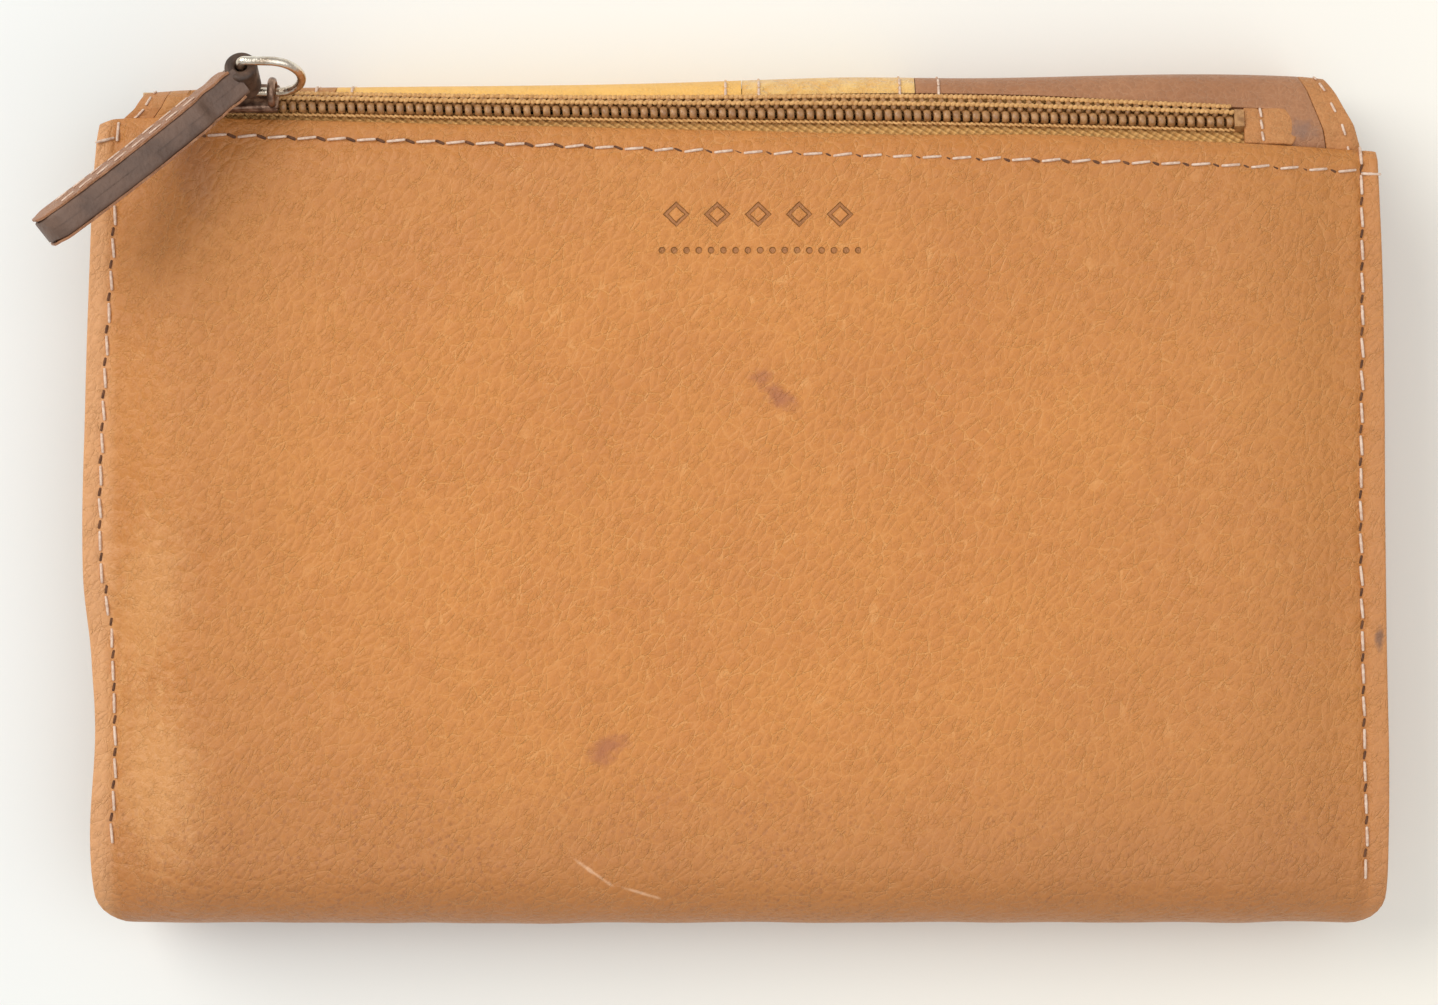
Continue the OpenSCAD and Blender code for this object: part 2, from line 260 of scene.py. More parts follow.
class Wire:
    def __init__(self, finish, socket):
        self.finish, self.socket = finish, socket

    def maths(self, how, first, second=0.0, clamp=False):
        settings = {"operation": how, "use_clamp": clamp}
        return self.finish.node("Math", settings, {0: first, 1: second})

    def __add__(self, other):
        return self.maths("ADD", self, other)

    def __radd__(self, other):
        return self.maths("ADD", other, self)

    def __sub__(self, other):
        return self.maths("SUBTRACT", self, other)

    def __rsub__(self, other):
        return self.maths("SUBTRACT", other, self)

    def __mul__(self, other):
        return self.maths("MULTIPLY", self, other)

    def __truediv__(self, other):
        return self.maths("DIVIDE", self, other)

    def __pow__(self, other):
        return self.maths("POWER", self, other)

    def __abs__(self):
        return self.maths("ABSOLUTE", self)

    def top(self, other):
        return self.maths("MAXIMUM", self, other)

    def wrapped(self, period):
        return self.maths("MODULO", self, period)

    def held(self):
        return self.maths("ADD", self, 0.0, clamp=True)

    def sine(self):
        return self.maths("SINE", self)

    def ramp(self, low, high):
        settings = {"interpolation_type": "SMOOTHSTEP"}
        return self.finish.node("MapRange", settings, {0: self, 1: low, 2: high})


class Finish:
    def __init__(self, name, **fixed):
        self.material = bpy.data.materials.new(name)
        self.material.use_nodes = True
        self.tree = self.material.node_tree
        self.shader = self.tree.nodes["Principled BSDF"]
        for socket, value in fixed.items():
            self.shader.inputs[socket.replace("_", " ")].default_value = value

    def node(self, kind, settings=None, sockets=None, output=0):
        made = self.tree.nodes.new("ShaderNode" + kind)
        for name, value in (settings or {}).items():
            setattr(made, name, value)
        for name, value in (sockets or {}).items():
            if isinstance(value, Wire):
                self.tree.links.new(value.socket, made.inputs[name])
            else:
                made.inputs[name].default_value = value
        return Wire(self, made.outputs[output])

    def place(self, turn=(0, 0, 0)):
        # object coordinates in millimetres
        spot = self.node("TexCoord", output=3)
        sized = self.node("VectorMath", {"operation": "SCALE"}, {0: spot, "Scale": 1000})
        return self.node("Mapping", {}, {0: sized, 2: turn})

    def axes(self, vector):
        return [self.node("SeparateXYZ", {}, {0: vector}, output=i) for i in range(3)]

    def stretched(self, vector, turn, scale):
        turned = self.node("Mapping", {}, {0: vector, 2: (0, 0, turn)})
        return self.node("Mapping", {}, {0: turned, 3: scale})

    def cloudy(self, vector, scale, detail=3, rough=0.55):
        sockets = {"Vector": vector, "Scale": scale, "Detail": detail, "Roughness": rough}
        return self.node("TexNoise", {}, sockets)

    def warped(self, vector, scale, amount):
        cloud = self.node("TexNoise", {}, {"Vector": vector, "Scale": scale, "Detail": 2}, output=1)
        shift = self.node("VectorMath", {"operation": "SUBTRACT"}, {0: cloud, 1: (0.5, 0.5, 0.5)})
        sized = self.node("VectorMath", {"operation": "SCALE"}, {0: shift, "Scale": amount})
        return self.node("VectorMath", {"operation": "ADD"}, {0: vector, 1: sized})

    def cells(self, vector, scale, kind="DISTANCE_TO_EDGE"):
        return self.node("TexVoronoi", {"feature": kind}, {"Vector": vector, "Scale": scale})

    def mix(self, share, first, second):
        first = (*first, 1) if isinstance(first, tuple) else first
        second = (*second, 1) if isinstance(second, tuple) else second
        return self.node("Mix", {"data_type": "RGBA"}, {0: share, 6: first, 7: second}, output=2)

    def wear(self, colour, roughness, height=None, depth=0.1):
        links = self.tree.links
        links.new(colour.socket, self.shader.inputs["Base Color"])
        links.new(roughness.socket, self.shader.inputs["Roughness"])
        if height:
            bump = self.node("Bump", {}, {"Height": height, "Distance": depth * mm, "Strength": 1.0})
            links.new(bump.socket, self.shader.inputs["Normal"])
        return self.material


def leather(name, look, marks=()):
    finish = Finish(name, Specular_IOR_Level=look.get("shine", 0.32))
    spot = finish.place()
    loose = finish.warped(spot, 0.14, 1.4)
    fineLoose = finish.warped(spot, 0.4, 0.45)
    drawn = finish.stretched(loose, look.get("lie", 0), look.get("stretch", (1, 1, 1)))
    drawnFine = finish.stretched(fineLoose, look.get("lie", 0), look.get("stretch", (1, 1, 1)))
    brokenWide = finish.cloudy(spot, 0.3, 4, 0.65).ramp(0.42, 0.62)
    brokenFine = finish.cloudy(spot, 0.6, 3, 0.6).ramp(0.4, 0.62)
    rim = finish.cells(drawn, look["pebble"] * 0.86)
    crease = (1 - rim.ramp(0.0, 0.07)) * (0.35 + brokenWide * 0.65)
    plump = rim.ramp(0.04, 0.34)
    smallRim = finish.cells(drawnFine, look["pebble"] * 2.1)
    small = (1 - smallRim.ramp(0.0, 0.12)) * (0.2 + brokenFine * 0.6)
    grain = finish.cloudy(fineLoose, look["pebble"] * 2.9, 4, 0.75)
    mottle = finish.cloudy(spot, 0.05, 5, 0.6).ramp(0.3, 0.7)
    speck = finish.cloudy(spot, 0.55, 4, 0.65).ramp(0.4, 0.7)
    colour = finish.mix(mottle, look["deep"], look["light"])
    colour = finish.mix(0.45 + speck * 0.3, colour, look["base"])
    colour = finish.mix(grain.ramp(0.42, 0.66) * 0.5, colour, look["deep"])
    colour = finish.mix(plump * 0.3, colour, look["deep"])
    veins = (crease * 0.7 + small * 0.3).held() * look["veins"]
    colour = finish.mix(veins, colour, look["vein"])
    for mark in marks:
        colour = mark(finish, colour, spot)
    rough = look["rough"] + (mottle - 0.5) * 0.1 + (grain - 0.5) * 0.2
    height = grain * 0.6 + plump * 0.55 - crease * 0.5 - small * 0.5
    if look.get("crinkle"):
        x, y, z = finish.axes(spot)
        edge = abs(x).ramp(look["crinkle"], look["crinkle"] + 16)
        drawnIn = finish.cloudy(finish.stretched(loose, 0.3, (0.13, 0.5, 1)), 1.0, 3, 0.6)
        height = height + drawnIn * edge * 2.4
    if look.get("stamp"):
        pressed = stampOn(finish, spot, look["stamp"])
        colour = finish.mix(pressed * 0.62, colour, (0.27, 0.1, 0.035))
        height = height - pressed * 2.2
    return finish.wear(colour, rough, height, look["depth"])


def stampOn(finish, spot, stamp):
    # a plain pressed ornament: a row of open lozenges over a row of dots
    x, y, z = finish.axes(spot)
    pitch = stamp["pitch"]
    ragged = (finish.cloudy(spot, 1.4, 3) - 0.5) * 0.14
    inRow = 1 - abs(x - stamp["x"]).ramp(stamp["half"] - 0.05, stamp["half"] + 0.05)
    step = abs((x - stamp["x"] + stamp["half"] + 50 * pitch).wrapped(pitch) - pitch / 2)
    reach = step / 1.75 + abs(y - stamp["y"]) / 1.65 + ragged
    lozenge = 1 - abs(reach - 0.74).ramp(0.1, 0.24)
    dotStep = abs((x - stamp["x"] + stamp["half"] + 75).wrapped(1.5) - 0.75)
    dot = ((dotStep ** 2 + (y - stamp["dotY"]) ** 2) ** 0.5 + ragged).ramp(0.28, 0.46)
    return (lozenge.top(1 - dot) * inRow).held()


def stainOrPaintedLight(x, y, long, wide, turn, colour, strength):
    # a worn mark or painted light or shade that fades out raggedly, centred at x, y on the back panel
    def paint(finish, before, spot):
        local = finish.node("Mapping", {"vector_type": "TEXTURE"}, {0: spot, 1: (x, y, 0), 2: (0, 0, turn)})
        across = finish.axes(local)
        ragged = finish.cloudy(spot, 0.8, 4, 0.7)
        far = ((across[0] / long) ** 2 + (across[1] / wide) ** 2) ** 0.5 + (ragged - 0.5) * 1.6
        return finish.mix((1 - far.ramp(0.2, 1.2)) * strength, before, colour)
    return paint


def foldShade(finish, before, spot):
    # painted shade: darker at the bottom fold and towards the corners, where the light falls off, with dark
    # pits low down, paler on the strips outside the side seams, with a painted highlight that makes the
    # left one palest
    x, y, z = finish.axes(spot)
    low = 1 - y.ramp(bottomY - 1, bottomY + 22)
    side = abs(x).ramp(wrapHigh.x - 3.6, wrapHigh.x - 1.6)
    # painted shade: darker towards the corners, where the light falls off
    shadeTowardsCorners = ((x / 84) ** 2 + (y / 58) ** 2) ** 0.5
    shaded = finish.mix(shadeTowardsCorners.ramp(0.35, 1.15) * 0.5, before, (0.44, 0.18, 0.05))
    # painted shade: darker at the bottom fold
    shaded = finish.mix(low * 0.4, shaded, (0.36, 0.135, 0.04))
    pits = 1 - finish.cells(spot, 1.25, "F1").ramp(0.16, 0.42)
    damp = (1 - y.ramp(bottomY + 8, bottomY + 30)) * finish.cloudy(spot, 0.07, 3).ramp(0.35, 0.6)
    shaded = finish.mix(pits * damp * 0.5, shaded, (0.34, 0.12, 0.035))
    shaded = finish.mix(side * 0.3, shaded, (0.66, 0.31, 0.13))
    # painted highlight: the strip outside the left seam is palest, where its edge roll faces the light
    return finish.mix((1 - x.ramp(-78, -75.5)) * 0.45, shaded, (0.84, 0.46, 0.22))


leathers = {
    "back": {"light": (0.7, 0.282, 0.058), "base": (0.66, 0.25, 0.048), "deep": (0.55, 0.192, 0.036),
             "vein": (0.84, 0.41, 0.135), "veins": 0.7, "pebble": 1.0, "rough": 0.42, "depth": 0.12,
             "shine": 0.5, "crinkle": 52,
             "stretch": (0.58, 1, 1), "lie": -0.9,
             "stamp": {"x": 2.8, "y": 34.8, "dotY": 30.4, "half": 12.5, "pitch": 5.0}},
    "tan": {"light": (0.62, 0.3, 0.1), "base": (0.57, 0.255, 0.08), "deep": (0.47, 0.19, 0.055),
            "vein": (0.7, 0.38, 0.15), "veins": 0.4, "pebble": 1.3, "rough": 0.48, "depth": 0.08},
    "light": {"light": (0.96, 0.58, 0.17), "base": (0.94, 0.55, 0.15), "deep": (0.87, 0.48, 0.12),
              "vein": (0.96, 0.66, 0.3), "veins": 0.3, "pebble": 1.5, "rough": 0.5, "depth": 0.06},
    "brown": {"light": (0.48, 0.235, 0.118), "base": (0.44, 0.205, 0.1), "deep": (0.34, 0.15, 0.07),
              "vein": (0.55, 0.31, 0.18), "veins": 0.4, "pebble": 1.2, "rough": 0.42, "depth": 0.07},
    "edging": {"light": (0.62, 0.29, 0.11), "base": (0.57, 0.25, 0.09), "deep": (0.45, 0.18, 0.055),
               "vein": (0.64, 0.34, 0.13), "veins": 0.4, "pebble": 1.4, "rough": 0.48, "depth": 0.08},
    "gusset": {"light": (0.53, 0.25, 0.09), "base": (0.47, 0.2, 0.065), "deep": (0.36, 0.14, 0.04),
               "vein": (0.62, 0.33, 0.13), "veins": 0.4, "pebble": 1.3, "rough": 0.5, "depth": 0.08},
    "pull": {"light": (0.46, 0.22, 0.11), "base": (0.4, 0.18, 0.09), "deep": (0.26, 0.11, 0.05),
             "vein": (0.62, 0.36, 0.2), "veins": 0.6, "pebble": 1.2, "rough": 0.46, "depth": 0.12},
}
# marks on the back panel: the painted shade and highlight of foldShade, real stains and scratches, a
# painted shadow of the pull and two painted highlights on the left
backMarks = [
    foldShade,
    stainOrPaintedLight(5.2, 12.6, 2.8, 1.3, -0.6, (0.4, 0.13, 0.05), 0.8),
    stainOrPaintedLight(3, 15, 1.7, 1.1, 0, (0.42, 0.14, 0.05), 0.7),
    stainOrPaintedLight(-15.3, -30, 3.2, 1.4, 0.3, (0.42, 0.14, 0.05), 0.8),
    stainOrPaintedLight(-16.4, -31.6, 1.6, 1.2, 0, (0.42, 0.14, 0.05), 0.7),
    stainOrPaintedLight(-17.4, -45.6, 3.2, 0.26, -0.62, (0.86, 0.54, 0.33), 0.6),
    stainOrPaintedLight(-11.6, -48.2, 2.8, 0.24, -0.3, (0.86, 0.54, 0.33), 0.55),
    stainOrPaintedLight(79, -17.2, 0.7, 1.6, 0, (0.2, 0.1, 0.06), 0.8),
    # painted shadow: a dark patch where the pull's shadow falls on the leather near the top left
    stainOrPaintedLight(-66, 40.5, 3, 7, 0.2, (0.4, 0.17, 0.07), 0.45),
    # painted highlight: two pale patches where the left slope catches the light
    stainOrPaintedLight(-71, -34, 7, 14, 0.15, (0.93, 0.52, 0.21), 0.28),
    stainOrPaintedLight(-72, -12, 6, 12, -0.2, (0.93, 0.52, 0.21), 0.24),
]
# painted shadow: the dark smudge that the zip's end tab casts on the brown leather to its right
endTabShadow = [
    stainOrPaintedLight(69.6, 45.4, 2.4, 1.5, 0, (0.21, 0.14, 0.12), 0.55),
]
marksOn = {"back": backMarks, "brown": endTabShadow}
finishes = {name: leather(name + "Leather", look, marksOn.get(name, ())) for name, look in leathers.items()}


def suedeFinish():
    finish = Finish("suede", Specular_IOR_Level=0.12, Sheen_Weight=0.5, Sheen_Roughness=0.5)
    spot = finish.place()
    nap = finish.cloudy(spot, 1.6, 5, 0.7)
    brushed = finish.cloudy(finish.warped(spot, 0.2, 2), 0.5, 4, 0.65).ramp(0.35, 0.65)
    colour = finish.mix(brushed, (0.82, 0.45, 0.12), (0.93, 0.58, 0.19))
    colour = finish.mix(nap.ramp(0.4, 0.7) * 0.4, colour, (0.95, 0.66, 0.28))
    return finish.wear(colour, 0.85 + (nap - 0.5) * 0.1, nap + brushed * 0.8, 0.3)


def clothFinish(name, light, deep, threads=2.2):
    finish = Finish(name, Specular_IOR_Level=0.2)
    x, y, z = finish.axes(finish.place())
    warp = (x * threads * 6.28).sine()
    weft = ((y + z) * threads * 6.28).sine()
    weave = warp * weft * 0.5 + 0.5
    cloud = finish.cloudy(finish.place(), 0.2, 3)
    colour = finish.mix(weave * 0.5 + cloud * 0.4, deep, light)
    return finish.wear(colour, 0.85 + (weave - 0.5) * 0.1, weave, 0.08)


def tapeFinish():
    # basket weave that follows the zip
    finish = Finish("zipTape", Specular_IOR_Level=0.3)
    turned = finish.place(turn=(0, 0, 0.01745))
    x, y, z = finish.axes(turned)
    column = (x * (6.28 / 1.18) + y * 2.2).sine()
    row = (y * (6.28 / 0.95) - x * 0.4).sine()
    knots = (column * row * 0.5 + 0.5).held()
    fibre = finish.cloudy(turned, 2.5, 3)
    colour = finish.mix(knots, (0.5, 0.235, 0.06), (0.88, 0.5, 0.17))
    colour = finish.mix(fibre.ramp(0.4, 0.7) * 0.3, colour, (0.95, 0.62, 0.27))
    return finish.wear(colour, 0.7 - knots * 0.12, knots + fibre * 0.2, 0.4)


def plainFinish(name, light, deep, rough, depth=0.05, scale=1.2, **fixed):
    finish = Finish(name, **fixed)
    spot = finish.place()
    cloud = finish.cloudy(spot, scale, 4, 0.6)
    fine = finish.cloudy(spot, scale * 6, 2)
    colour = finish.mix(cloud.ramp(0.35, 0.65), deep, light)
    return finish.wear(colour, rough + (cloud - 0.5) * 0.25, fine, depth)


finishes["suede"] = suedeFinish()
finishes["lining"] = clothFinish("liningCloth", (0.75, 0.55, 0.33), (0.6, 0.42, 0.24))
finishes["tape"] = tapeFinish()
# name: the material's name, its light and deep colour, its roughness, and what else it sets
plain = {
    "coil": ("coilNylon", (0.5, 0.26, 0.1), (0.31, 0.145, 0.05), 0.26, {"Specular_IOR_Level": 0.7}),
    "rope": ("coilThread", (0.78, 0.45, 0.17), (0.52, 0.26, 0.08), 0.55, {"scale": 2}),
    "thread": ("seamThread", (0.84, 0.66, 0.53), (0.66, 0.45, 0.33), 0.55, {"scale": 2}),
    # painted shade for the needle holes
    "holeShade": ("needleHoleShade", (0.17, 0.07, 0.03), (0.09, 0.035, 0.015), 0.8, {}),
    "bronze": ("oldBronze", (0.42, 0.27, 0.19), (0.16, 0.09, 0.06), 0.34, {"scale": 0.8, "Metallic": 0.85}),
    "ring": ("ringMetal", (0.86, 0.79, 0.68), (0.6, 0.47, 0.34), 0.22, {"scale": 0.5, "Metallic": 1.0}),
    "snap": ("snapMetal", (0.62, 0.5, 0.33), (0.4, 0.3, 0.19), 0.3, {"scale": 0.6, "Metallic": 1.0}),
    "edge": ("paintedEdge", (0.175, 0.105, 0.074), (0.115, 0.068, 0.048), 0.5,
             {"scale": 0.25, "depth": 0.12}),
    "loop": ("loopLeather", (0.12, 0.065, 0.04), (0.045, 0.024, 0.015), 0.5, {"scale": 0.5, "depth": 0.1}),
}
for name, (word, light, deep, rough, more) in plain.items():
    finishes[name] = plainFinish(word, light, deep, rough, **more)


def dress(piece, finish, nodes=(), body="pouch"):
    piece.data.materials.clear()
    piece.data.materials.append(finishes[finish])
    if nodes:
        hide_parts(*nodes)
    if body:
        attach(piece, body)
    return piece


print("stage: outer leather")
edges = {
    "left": [(-53, -78.7), (-41.7, -79.4), (-28.8, -78.8), (-19.7, -79.3), (-8.7, -80.3), (13.3, -79.9),
             (31.6, -79.3), (44, -78.7), (49, -78.3)],
    "right": [(-53, 80), (-36, 80.3), (-12, 79.9), (24, 79.6), (40.8, 78.9), (49, 78.5)],
}
seams = {
    "left": [(-53, -76.7), (-43, -76.8), (-32, -76.3), (-16.7, -76.9), (-7.2, -78.1), (12.1, -77.6),
             (36.5, -76.2), (49, -76)],
    "right": [(-53, 76.2), (-44, 77.5), (-34, 77.3), (-3.8, 76.8), (22.7, 77), (43, 76.8), (49, 76.7)],
}
lipLine = [(-79, 46.2), (-76.5, 47.1), (-70, 47), (-53, 46.6), (-26, 45.9), (0, 45.3), (20, 44.8),
           (38, 44.8), (48, 44.3), (77, 43), (80, 42.7)]
lipSeam = [(-79, 45), (-65.4, 44.6), (-26.3, 43.4), (-4.3, 42.6), (47, 41.2), (76.2, 40.2), (80, 40)]
puff = {"pressLeft": 2.5, "reachLeft": 11, "pressRight": 1.7, "reachRight": 17, "bulge": 0.4,
        "droop": 0.175, "droopFrom": 41}
fold = {"y": bottomY + (topZ - frontZ) / 2, "radius": (topZ - frontZ) / 2}
wrap = {"back": 91, "turn": 26, "front": 92, "grid": 170, "crowd": 0.085, "corner": 4,
        "thick": 1.2, "round": 0.3}
sidePitch = 4.0
lipPitch = 3.64


def insideSeam(x, y):
    return min(x - along(seams["left"], y), along(seams["right"], y) - x)


def backZ(x, y):
    inside = insideSeam(x, y)
    t = max(0, inside)
    z = topZ - puff["droop"] * max(0, y - puff["droopFrom"])
    side = "Right" if x > 0 else "Left"
    z -= puff["press" + side] * (1 - smooth(-1, puff["reach" + side], inside))
    z += puff["bulge"] * smooth(2, 8, t) * (1 - smooth(8, 26, t))
    z += 0.2 * math.exp(-((inside - 2.2) / 1.6) ** 2) * math.cos(6.2832 * (y - 40.5) / sidePitch)
    z -= 0.35 * math.exp(-(inside / 0.55) ** 2)
    z -= 0.9 * math.exp(-((x + 77) / 4) ** 2 - ((y + 17) / 3.5) ** 2)
    seam = along(lipSeam, x)
    z -= 0.3 * math.exp(-((y - seam) / 0.5) ** 2)
    z += 0.12 * math.exp(-((y - seam + 1.5) / 1.3) ** 2) * math.cos(6.2832 * (x + 67) / lipPitch)
    lip = along(lipLine, x) - y
    z -= 0.55 * (1 - smooth(0, 1.1, lip)) ** 2
    z += 0.18 * smooth(0.6, 1.6, lip) * (1 - smooth(2.0, 2.9, lip))
    return z + relief(x, y, 30, 0.5) + relief(x, y, 11, 0.22, 4) + relief(x, y, 4, 0.06, 9)


def panelFrontZ(x, y):
    return frontZ + 1.3 * (1 - smooth(-1, 9, insideSeam(x, y))) + relief(x, y, 25, 0.2, 20)


def wrapPlace(u, v):
    # down the back panel, round the bottom fold and up the front panel, with columns crowded to the sides
    back, around = wrap["back"], wrap["turn"]
    s = v * (back + around + wrap["front"])
    u = u - wrap["crowd"] * math.sin(6.2832 * u)
    x = lerp(-78.6, 78.8, u)
    if s < back:
        y = lerp(along(lipLine, x), fold["y"], s / back)
        x = lerp(along(edges["left"], y), along(edges["right"], y), u)
        return x, y, backZ(x, y)
    if s > back + around:
        y = lerp(fold["y"], along(lipLine, x) - 0.4, (s - back - around) / wrap["front"])
        x = lerp(along(edges["left"], y), along(edges["right"], y), u)
        return x, y, panelFrontZ(x, y)
    turn = (s - back) / around * math.pi
    y = fold["y"] - fold["radius"] * math.sin(turn)
    radius = wrap["corner"]
    down = min(radius, max(0, bottomY + radius - y))
    inset = radius - math.sqrt(radius * radius - down * down)
    x = lerp(along(edges["left"], y) + inset, along(edges["right"], y) - inset, u)
    high, low = backZ(x, fold["y"]), panelFrontZ(x, fold["y"])
    y += relief(x, y, 9, 0.25, 31) * math.sin(turn)
    return x, y, (high + low) / 2 + (high - low) / 2 * math.cos(turn)


outerWrap = sheetPiece("outerWrap", wrap["grid"], wrap["grid"], wrapPlace, flip=True)
thicken(outerWrap, wrap["thick"], wrap["round"])
dress(outerWrap, "back", ["outer_wrap"])


def gussetPlace(side):
    seam = seams["right" if side > 0 else "left"]

    def place(u, v):
        y = lerp(along(lipLine, side * 77) - 1.4, bottomY + 1.4, u)
        x = along(seam, y)
        high, low = backZ(x, max(y, fold["y"])) - 1.2, panelFrontZ(x, max(y, fold["y"])) + 1.2
        past = min(1, max(0, (fold["y"] - y) / (fold["radius"] - 1.3)))
        half = (high - low) / 2 * math.sqrt(1 - past * past)
        folded = math.sin(math.pi * v) ** 0.8 * 3.2 * (1 - past)
        wave = relief(y, v * 12, 9, 0.5, side) * math.sin(math.pi * v)
        return x + side * 0.9 - side * folded + wave, y, (high + low) / 2 + half * (2 * v - 1)
    return place


for side, name in ((-1, "left"), (1, "right")):
    gusset = sheetPiece(name + "Gusset", 90, 14, gussetPlace(side), flip=side < 0)
    thicken(gusset, 0.9)
    dress(gusset, "gusset", [name + "_gusset"])

print("stage: pockets and linings")


def layer(name, node, thickness, finish, sideGap, heightOf):
    low, high = box(node)

    def place(u, v):
        y = lerp(low.y, high.y, v)
        x = lerp(low.x + sideGap, high.x - sideGap, u)
        return x, y, heightOf(x, y, low, high)
    piece = sheetPiece(name, 60, 40, place)
    thicken(piece, thickness, 0.1)
    return dress(piece, finish, [node])


def atTop(x, y, low, high):
    return high.z + relief(x, y, 22, 0.25, high.z)


layer("frontLining", "front_lining", 0.35, "lining", 1.2,
      lambda x, y, low, high: panelFrontZ(x, y) + 1.6)
layer("zipPocketLining", "zip_pocket_lining", 0.35, "lining", 1.2,
      lambda x, y, low, high: backZ(x, y) - 1.3)
layer("pocketBacking", "pocket_backing", 0.5, "lining", 3.6, atTop)
for name in ("front", "middle", "back"):
    layer(name + "CardPocket", "card_pocket_" + name, 0.5, "tan", 3.6, atTop)


def hemPlace(u, v):
    low, high = box("pocket_top_hem")
    x = lerp(low.x, high.x, u)
    return x, high.y - 0.1 + 0.2 * math.sin(math.pi * v), lerp(low.z - 0.2, lerp(high.z, low.z + 0.4, u), v)


pocketHem = sheetPiece("pocketHem", 40, 3, hemPlace, flip=True)
thicken(pocketHem, 0.4)
dress(pocketHem, "lining", ["pocket_top_hem"])

print("stage: seams")


def surfaceZ(x, y):
    if y >= fold["y"]:
        return backZ(x, y)
    high, low = backZ(x, fold["y"]), panelFrontZ(x, fold["y"])
    past = min(1, (fold["y"] - y) / fold["radius"])
    return (high + low) / 2 + (high - low) / 2 * math.sqrt(1 - past * past)


def onBack(x, y, dx, dy, lift):
    # a matrix on the back panel whose X runs from x, y towards dx, dy
    ahead = Vector((dx, dy, surfaceZ(x + dx, y + dy) - surfaceZ(x, y)))
    side = Vector((-dy, dx, surfaceZ(x - dy, y + dx) - surfaceZ(x, y)))
    return frameAt((x, y, surfaceZ(x, y) + lift), ahead, ahead.cross(side))


lipSewing = {"from": -67, "run": 142, "count": 40, "size": (2.35, 0.36, 0.38), "holeShade": (1.2, 0.4, 0.26)}
sideSewing = {"top": {"left": 38.9, "right": 38.6}, "count": {"left": 21, "right": 22},
              "size": (2.5, 0.4, 0.38), "holeShade": (1.1, 0.36, 0.24)}
lipThreads, lipHoleShades, sideHoleShades = [], [], []
sideThreads = {"left": [], "right": []}
for i in range(lipSewing["count"]):
    x = lipSewing["from"] + i * lipSewing["run"] / (lipSewing["count"] - 1)
    y = along(lipSeam, x)
    lipThreads.append(onBack(x, y, 1.1, 0.12 + dice.uniform(-0.05, 0.05), 0.3))
    lipHoleShades.append(onBack(x + 1.72, y - 0.08, 0.5, -0.2, 0.14))
for side in ("left", "right"):
    for i in range(sideSewing["count"][side]):
        y = sideSewing["top"][side] - i * sidePitch
        x = along(seams[side], y)
        lean = dice.uniform(-0.06, 0.06)
        sideThreads[side].append(onBack(x, y, 0.07 + lean, -1.2, 0.22))
        sideHoleShades.append(onBack(x - 0.05, y + sidePitch / 2, 0.1, 0.5, 0.08))
sideThreads["left"] += [onBack(-76.1, 45.3, 0.05, 1, 0.12), onBack(-77.6, 44.2, 1, 0.3, 0.12)]
sideThreads["right"] += [onBack(76.8, 42.2, 0.02, -1, 0.12), onBack(78, 39.9, 1, -0.04, 0.15)]

lipStitches = copiesOf(bead(*lipSewing["size"]), "lipStitches", lipThreads)
dress(lipStitches, "thread", ["lip_stitching"])
for side in ("left", "right"):
    stitches = copiesOf(bead(*sideSewing["size"]), side + "SideStitches", sideThreads[side])
    dress(stitches, "thread", [side + "_side_stitching"])
# painted shade: dark beads lie on the surface at the needle holes and stand in for the shade inside them
holeShadeBeads = copiesOf(bead(*lipSewing["holeShade"]), "holeShadeBeads", lipHoleShades)
dress(holeShadeBeads, "holeShade")
sideHoleShadeBeads = copiesOf(bead(*sideSewing["holeShade"]), "sideHoleShadeBeads", sideHoleShades)
dress(sideHoleShadeBeads, "holeShade")

print("stage: zip")
zipFrame = frameAt(sliderMid, zipAlong, zipUp)
chain = {"pitch": 1.2, "bowAt": 88, "bowReach": 34, "bow": 0.35, "height": 0.77}
tapeCut = {"from": -9.4, "to": 127.9, "thick": 0.42}


def bowed(a):
    # the chain bows towards the top edge and lies flatter right of the middle
    return math.exp(-((a - chain["bowAt"]) / chain["bowReach"]) ** 2)


def tapePlace(near, far, widen=0.0):
    def place(u, v):
        a = lerp(tapeCut["from"], tapeCut["to"], u)
        reach = lerp(far[0], far[1], u) + widen * bowed(a)
        across = lerp(near + max(0, near) * 1.15 * bowed(a), reach, v)
        return onZip(a, across, -0.03 - 0.1 * math.sin(math.pi * v) ** 2)
    return place


lowerTape = sheetPiece("lowerTape", 120, 8, tapePlace(-0.3, (-3.35, -4.6)), flip=True)
upperTape = sheetPiece("upperTape", 120, 6, tapePlace(0.3, (1.9, 3.3), 1.0))
for tape, node in ((lowerTape, "lower_zip_tape"), (upperTape, "upper_zip_tape")):
    thicken(tape, tapeCut["thick"])
    dress(tape, "tape", [node])


def coilTurn(width, fat):
    deselect()
    bpy.ops.mesh.primitive_torus_add(major_segments=14, minor_segments=6,
                                     major_radius=0.5 * mm, minor_radius=0.28 * mm)
    loop = bpy.context.object
    for corner in loop.data.vertices:
        x, y, z = corner.co
        corner.co = (z * fat, y * width, x * 0.96)
    bpy.ops.object.shade_smooth()
    return loop


def coilRow(name, node, across, shift, width, fat, widen=0.0):
    places = []
    spot = zipFrom + 0.3 + shift
    while spot < zipTo - 0.1:
        bow = bowed(spot)
        at = onZip(spot, across + (chain["bow"] + widen * 0.45) * bow, chain["height"])
        wider = Matrix.Diagonal((1, 1 + widen * 0.5 * bow, 1, 1))
        places.append(frameAt(at, zipAlong + zipAcross * 0.12, zipUp) @ wider)
        spot += chain["pitch"]
    row = copiesOf(coilTurn(width, fat), name, places)
    return dress(row, "coil", [node])


